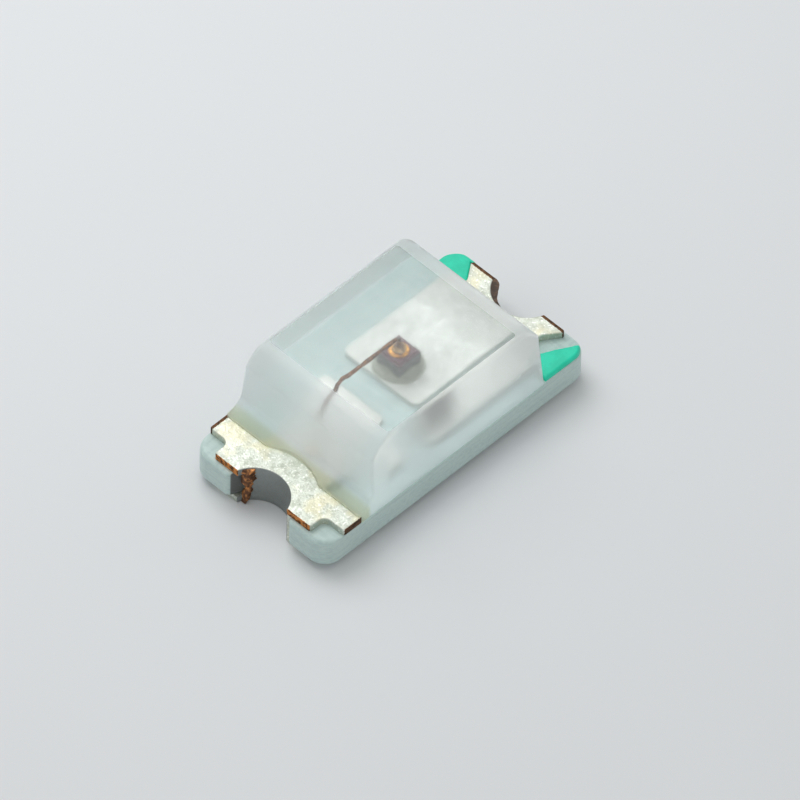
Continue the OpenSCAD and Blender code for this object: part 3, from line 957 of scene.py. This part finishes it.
def lens_columns(end_steps=170, side_steps=30, corner_steps=7):
    """Columns round a rounded rectangle, counter-clockwise: place in half sizes, and outward angle."""
    across = np.linspace(-1, 1, end_steps + 2)[1:-1]
    along = np.linspace(-1, 1, side_steps + 2)[1:-1]
    quarter = np.linspace(0, math.pi / 2, corner_steps)
    edges = [(np.ones(end_steps), across), (-along, np.ones(side_steps)),
             (-np.ones(end_steps), -across), (along, -np.ones(side_steps))]
    corners = [(1, 1), (-1, 1), (-1, -1), (1, -1)]
    x, y, facing = [], [], []
    for side, (edge, corner) in enumerate(zip(edges, corners)):
        x += [edge[0], np.full(corner_steps, corner[0])]
        y += [edge[1], np.full(corner_steps, corner[1])]
        facing += [np.full(len(edge[0]), side * math.pi / 2), side * math.pi / 2 + quarter]
    return np.concatenate(x), np.concatenate(y), np.concatenate(facing)


def lens_shell(lens, board):
    """Moulded lens: rounded rectangles stacked up its height.

    The half length follows the drafted wall, the shoulder's arc and a parabola into the flat top, and the
    half width its drafted wall and the round top edge. In front the foot reaches out along a hollow arc, but
    no closer to the half hole than its setback."""
    tan_draft = math.tan(lens.draft)
    top = LENS_HIGH.z
    shoulder_z = top - lens.shoulder_drop
    foot_x = np.array([lens.length / 2 - (shoulder_z - LAMINATE_TOP) * tan_draft, shoulder_z])
    crest = np.array([foot_x[0] - lens.shoulder_length, top])
    chord = crest - foot_x
    inward = np.array([-chord[1], chord[0]]) / np.linalg.norm(chord)
    reach = math.sqrt(lens.shoulder_bow ** 2 - (np.linalg.norm(chord) / 2) ** 2)
    bow = (foot_x + crest) / 2 + inward * reach
    bend_z = top - lens.crest_drop
    bend_x = bow[0] + math.sqrt(lens.shoulder_bow ** 2 - (bend_z - bow[1]) ** 2)
    flat_x = crest[0] - math.hypot(bend_x - crest[0], lens.crest_drop)

    edge_z = BOARD_TOP + lens.foot_edge
    foot_length = -LENS_LOW.x - lens.length / 2
    edge_rise = edge_z - LAMINATE_TOP
    hollow = (foot_length + edge_rise * tan_draft) / (1 - tan_draft)
    hollow_z = edge_z + hollow

    quarter = np.linspace(0, math.pi / 2, 26)
    round_top = top - lens.edge_radius * (1 - np.sin(np.linspace(0, math.pi / 2, 9)))
    crease = 0.002 * MM
    height = np.unique(np.concatenate([
        np.linspace(LAMINATE_TOP, edge_z, 5), hollow_z - hollow * np.cos(quarter),
        np.linspace(hollow_z, shoulder_z - crease, 16), np.linspace(shoulder_z, bend_z, 24), round_top,
        top - lens.crest_drop * np.linspace(0, 1, 12) ** 2]).round(9))
    half_length = lens.length / 2 - (height - LAMINATE_TOP) * tan_draft
    on_bow = bow[0] + np.sqrt(np.clip(lens.shoulder_bow ** 2 - (height - bow[1]) ** 2, 0, None))
    half_length = np.where(height > shoulder_z, on_bow, half_length)
    left = np.sqrt(np.clip((top - height) / lens.crest_drop, 0, 1))
    on_bend = left ** 2 * bend_x + 2 * left * (1 - left) * crest[0] + (1 - left) ** 2 * flat_x
    half_length = np.where(height > bend_z, on_bend, half_length)
    rounding = np.clip((height - top) / lens.edge_radius + 1, 0, 1)
    straight = np.minimum(height, top - lens.edge_radius)
    half_width = HALF_WIDTH - (straight - LAMINATE_TOP) * tan_draft
    half_width = half_width - lens.edge_radius * (1 - np.sqrt(1 - rounding ** 2))

    inner = 2 * lens.sink
    half_length = np.concatenate([[half_length[0] - inner], half_length, [half_length[-1] - inner]])[:, None]
    half_width = np.concatenate([[half_width[0] - inner], half_width, [half_width[-1] - inner]])[:, None]
    height = np.concatenate([[LAMINATE_TOP - lens.sink], height, [top]])[:, None]
    along, across, facing = lens_columns()
    x = along * (half_length - lens.corner_radius) + lens.corner_radius * np.cos(facing)
    y = across * (half_width - lens.corner_radius) + lens.corner_radius * np.sin(facing)

    wall = lens.length / 2 - (height - LAMINATE_TOP) * tan_draft
    below = np.clip(hollow_z - height, 0, hollow)
    foot_reach = np.where(below > 0, -LENS_LOW.x - np.sqrt(hollow ** 2 - below ** 2) - wall, 0)
    relief = np.sqrt(np.clip((board.hole_radius + lens.foot_setback) ** 2 - y ** 2, 0, None))
    to_relief = hole_middle(board) - relief - wall
    x = x - np.clip(np.minimum(foot_reach, to_relief), 0, None) * np.clip(-along, 0, 1)
    return tube(np.stack(np.broadcast_arrays(x, y, height), axis=-1))


def mark_shell(mark, board, terminal, side):
    """Printed corner mark on the side of sign side: a skin from its slanted inner edge to the board's edge.

    Its height over the board is the ink's thickness, rounded off as a quarter circle over its border."""
    x = np.linspace(MARK_LOW.x, HALF_LENGTH - mark.margin, 140)
    slanted = side * mark.spacing / 2 - mark.slip - side * (HALF_LENGTH - x) * math.tan(mark.slant)
    flare = np.clip(x - LAND_END + terminal.cathode_flare, 0, None) / terminal.cathode_flare
    land = terminal.cathode_tongue / 2 + flare * (terminal.end_width - terminal.cathode_tongue) / 2
    waver = mark.waver * waves(x / INK_WAVE, 21 + side)
    inner = np.maximum(side * slanted, np.where(x < LAND_END, land, 0)) + waver
    corner_radius = board.corner_radius - mark.margin
    corner = np.clip(x - HALF_LENGTH + board.corner_radius, 0, corner_radius)
    outer = HALF_WIDTH - board.corner_radius + np.sqrt(corner_radius ** 2 - corner ** 2)
    kept = outer - inner > 0.3 * mark.edge
    x, inner, outer = x[kept], inner[kept], outer[kept]
    share = np.linspace(0, 1, 48)[None, :]
    y = inner[:, None] + share * (outer - inner)[:, None]
    along = np.broadcast_to(x[:, None], y.shape)
    margin = np.minimum(y - inner[:, None], outer[:, None] - y)
    margin = np.minimum(margin, np.minimum(along - x[0], x[-1] - along))
    rise = np.clip(margin / mark.edge, 0, 1)
    level = board_face(board, along, y)
    top = level + (MARK_HIGH.z - LAMINATE_TOP) * (0.25 + 0.75 * np.sqrt(1 - (1 - rise) ** 2))
    return slab(np.stack([along, side * y, top], axis=-1), np.stack([along, side * y, level], axis=-1))


class PieceOperator:
    """What the operators share."""
    bl_options = {"REGISTER", "UNDO"}


class CHIPLED_OT_laminate(PieceOperator, Operator):
    """Makes the laminate board"""
    bl_idname = "chip_led.laminate"
    bl_label = "Laminate board"

    def execute(self, context):
        part = context.scene.chip_led
        finish = laminate_finish(part.colours, part.board)
        make_piece("laminate_strip", [laminate_shell(part.board)], finish, ["laminate_board"])
        return {"FINISHED"}


class CHIPLED_OT_terminals(PieceOperator, Operator):
    """Makes both plated terminals, the torn copper of their half holes and the dark lip that stands partly
    for shade
    """
    bl_idname = "chip_led.terminals"
    bl_label = "Terminals"

    def execute(self, context):
        part = context.scene.chip_led
        board, terminal = part.board, part.terminal
        plating = plating_finish(part.colours, board)
        copper = copper_finish(part.colours)
        anode_inner = -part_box("anode_terminal")[1].x
        cathode_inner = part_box("cathode_terminal")[0].x
        pad = pad_outline(terminal, board)
        torn = torn_edge(np.linspace(LAMINATE_BOTTOM, LAMINATE_TOP, 60), terminal)
        whole = np.full(8, math.pi - mouth_angle(board, board.hole_radius, LAND_END))
        anode = flipped(anode_outline(terminal, board, anode_inner)), flipped(pad), torn
        cathode = cathode_outline(terminal, board, cathode_inner), pad, whole
        ends = (
            (-1, "anode_metal", "anode_terminal", anode),
            (1, "cathode_metal", "cathode_terminal", cathode),
        )
        for end, name, node, (land, under, edge) in ends:
            shells = [
                plate(land, LAMINATE_TOP, BOARD_TOP, terminal.edge_radius),
                plate(under, SOLDER_PLANE, LAMINATE_BOTTOM, 0.2 * terminal.edge_radius, terminal.edge_radius),
                barrel(board, end, edge),
            ]
            make_piece(name, shells, plating, [node])
        make_piece("torn_copper", [burr(board, terminal, torn), lip(board, terminal)], copper)
        return {"FINISHED"}


class CHIPLED_OT_die(PieceOperator, Operator):
    """Finishes the die and makes its adhesive spot and contact"""
    bl_idname = "chip_led.die"
    bl_label = "Die"

    def execute(self, context):
        part = context.scene.chip_led
        colours = part.colours
        dress("led_die", die_finish(colours))
        paste = adhesive_finish(colours)
        make_piece("adhesive_spot", [adhesive_shell(part.die)], paste, ["die_attach"])
        gold = gold_finish(colours)
        make_piece("die_contact", [contact_shell(part.die)], gold, ["die_electrode"])
        return {"FINISHED"}


class CHIPLED_OT_wire(PieceOperator, Operator):
    """Makes the bond wire"""
    bl_idname = "chip_led.wire"
    bl_label = "Bond wire"

    def execute(self, context):
        part = context.scene.chip_led
        shell = wire_shell(part.die)
        make_piece("gold_wire", [shell], wire_finish(part.colours), ["bond_wire"], sharp=60)
        return {"FINISHED"}


class CHIPLED_OT_lens(PieceOperator, Operator):
    """Makes the moulded resin lens"""
    bl_idname = "chip_led.lens"
    bl_label = "Lens"

    def execute(self, context):
        part = context.scene.chip_led
        shell = lens_shell(part.lens, part.board)
        walls = resin_finish(part.colours, "resin", clear=0.66, polish=0.0)
        face = resin_finish(part.colours, "resin_face", clear=0.88, polish=0.27)
        mesh = make_piece("resin_lens", [shell], walls, ["lens"], sharp=30).data
        mesh.materials.append(face.material)
        centres = np.empty(3 * len(mesh.polygons))
        mesh.polygons.foreach_get("center", centres)
        face_depth = 0.0005 * MM
        on_top = centres[2::3] > LENS_HIGH.z - face_depth
        mesh.polygons.foreach_set("material_index", on_top.astype(np.int32))
        return {"FINISHED"}


class CHIPLED_OT_marks(PieceOperator, Operator):
    """Makes the two cathode marks and finishes the underside arrow"""
    bl_idname = "chip_led.marks"
    bl_label = "Marks"

    def execute(self, context):
        part = context.scene.chip_led
        ink = ink_finish(part.colours)
        for side, word in ((1, "left"), (-1, "right")):
            shell = mark_shell(part.mark, part.board, part.terminal, side)
            make_piece(f"mark_{word}", [shell], ink, [f"cathode_mark_{word}"])
        dress("underside_arrow", ink)
        return {"FINISHED"}


def direction(azimuth, elevation):
    """Unit vector towards a place round the part, where azimuth 0 is on the -Y side."""
    level = math.cos(elevation)
    return Vector((math.sin(azimuth) * level, -math.cos(azimuth) * level, math.sin(elevation)))


class CHIPLED_OT_stage(PieceOperator, Operator):
    """Makes the camera, the light and the floor"""
    bl_idname = "chip_led.stage"
    bl_label = "Stage"

    def execute(self, context):
        part = context.scene.chip_led
        self.make_camera(context.scene, part.stage)
        self.make_light(context.scene, part.stage)
        self.make_floor(context.scene, part.stage, part.colours)
        context.scene.view_settings.view_transform = "Standard"
        return {"FINISHED"}

    def make_camera(self, scene, stage):
        lens = bpy.data.cameras.new("camera")
        lens.lens = FOCAL_LENGTH
        lens.sensor_width = SENSOR_WIDTH
        lens.clip_start = NEAR_CLIP
        lens.clip_end = FAR_CLIP
        back = direction(stage.azimuth, stage.elevation)
        side = Vector((math.cos(stage.azimuth), math.sin(stage.azimuth), 0))
        upright = Matrix((side, back.cross(side), back)).transposed()
        camera = bpy.data.objects.new("camera", lens)
        turned = (upright @ Matrix.Rotation(stage.roll, 3, "Z")).to_4x4()
        distance = stage.picture_width * lens.lens / lens.sensor_width
        camera.matrix_world = Matrix.Translation(Vector(stage.aim) + back * distance) @ turned
        scene.collection.objects.link(camera)
        scene.camera = camera

    def make_light(self, scene, stage):
        lamp = bpy.data.lights.new("key", "AREA")
        lamp.size = stage.key_size
        lamp.energy = stage.key_radiance * math.pi * stage.key_size ** 2
        key = bpy.data.objects.new("key", lamp)
        towards = direction(stage.key_azimuth, stage.key_elevation)
        turned = towards.to_track_quat("Z", "Y").to_matrix().to_4x4()
        key.matrix_world = Matrix.Translation(towards * stage.key_distance) @ turned
        key.visible_camera = False
        scene.collection.objects.link(key)
        scene.world = bpy.data.worlds.new("room")
        room = Finish(scene.world)
        seen = room.node("ShaderNodeLightPath", output="Is Camera Ray")
        for kind in ("Is Glossy Ray", "Is Transmission Ray"):
            seen = seen | room.node("ShaderNodeLightPath", output=kind)
        level = room.mix(seen, (stage.fill_light,) * 3, (stage.backdrop,) * 3)
        room.feed(room.tree.nodes["Background"].inputs["Color"], level)

    def make_floor(self, scene, stage, colours):
        side = np.linspace(-0.5, 0.5, FLOOR_LINES) * stage.floor_size
        x, y = np.meshgrid(side, side)
        points = np.stack([x, y, np.full(x.shape, SOLDER_PLANE)], axis=-1).reshape(-1, 3)
        mesh = bpy.data.meshes.new("floor")
        mesh.from_pydata(points.tolist(), [], grid_faces(FLOOR_LINES, FLOOR_LINES, False).tolist())
        mesh.materials.append(floor_finish(colours).material)
        floor = bpy.data.objects.new("floor", mesh)
        scene.collection.objects.link(floor)


class CHIPLED_PT_sidebar(Panel):
    """Lists the steps that build the part"""
    bl_idname = "CHIPLED_PT_sidebar"
    bl_label = "Chip LED"
    bl_space_type = "VIEW_3D"
    bl_region_type = "UI"
    bl_category = "Chip LED"

    def draw(self, context):
        for step in STEPS:
            self.layout.operator(step.bl_idname)


STEPS = (CHIPLED_OT_laminate, CHIPLED_OT_terminals, CHIPLED_OT_die, CHIPLED_OT_wire, CHIPLED_OT_lens,
         CHIPLED_OT_marks, CHIPLED_OT_stage)
GROUPS = (BoardSizes, TerminalSizes, DieSizes, LensSizes, MarkSizes, FinishColours, StageSettings, ChipLed)
CLASSES = (*GROUPS, *STEPS, CHIPLED_PT_sidebar)


def register():
    for cls in CLASSES:
        bpy.utils.register_class(cls)
    bpy.types.Scene.chip_led = PointerProperty(type=ChipLed)


def unregister():
    del bpy.types.Scene.chip_led
    for cls in reversed(CLASSES):
        bpy.utils.unregister_class(cls)


def main():
    register()
    bpy.ops.chip_led.laminate()
    bpy.ops.chip_led.terminals()
    bpy.ops.chip_led.die()
    bpy.ops.chip_led.wire()
    bpy.ops.chip_led.lens()
    bpy.ops.chip_led.marks()
    bpy.ops.chip_led.stage()


if __name__ == "__main__":
    main()
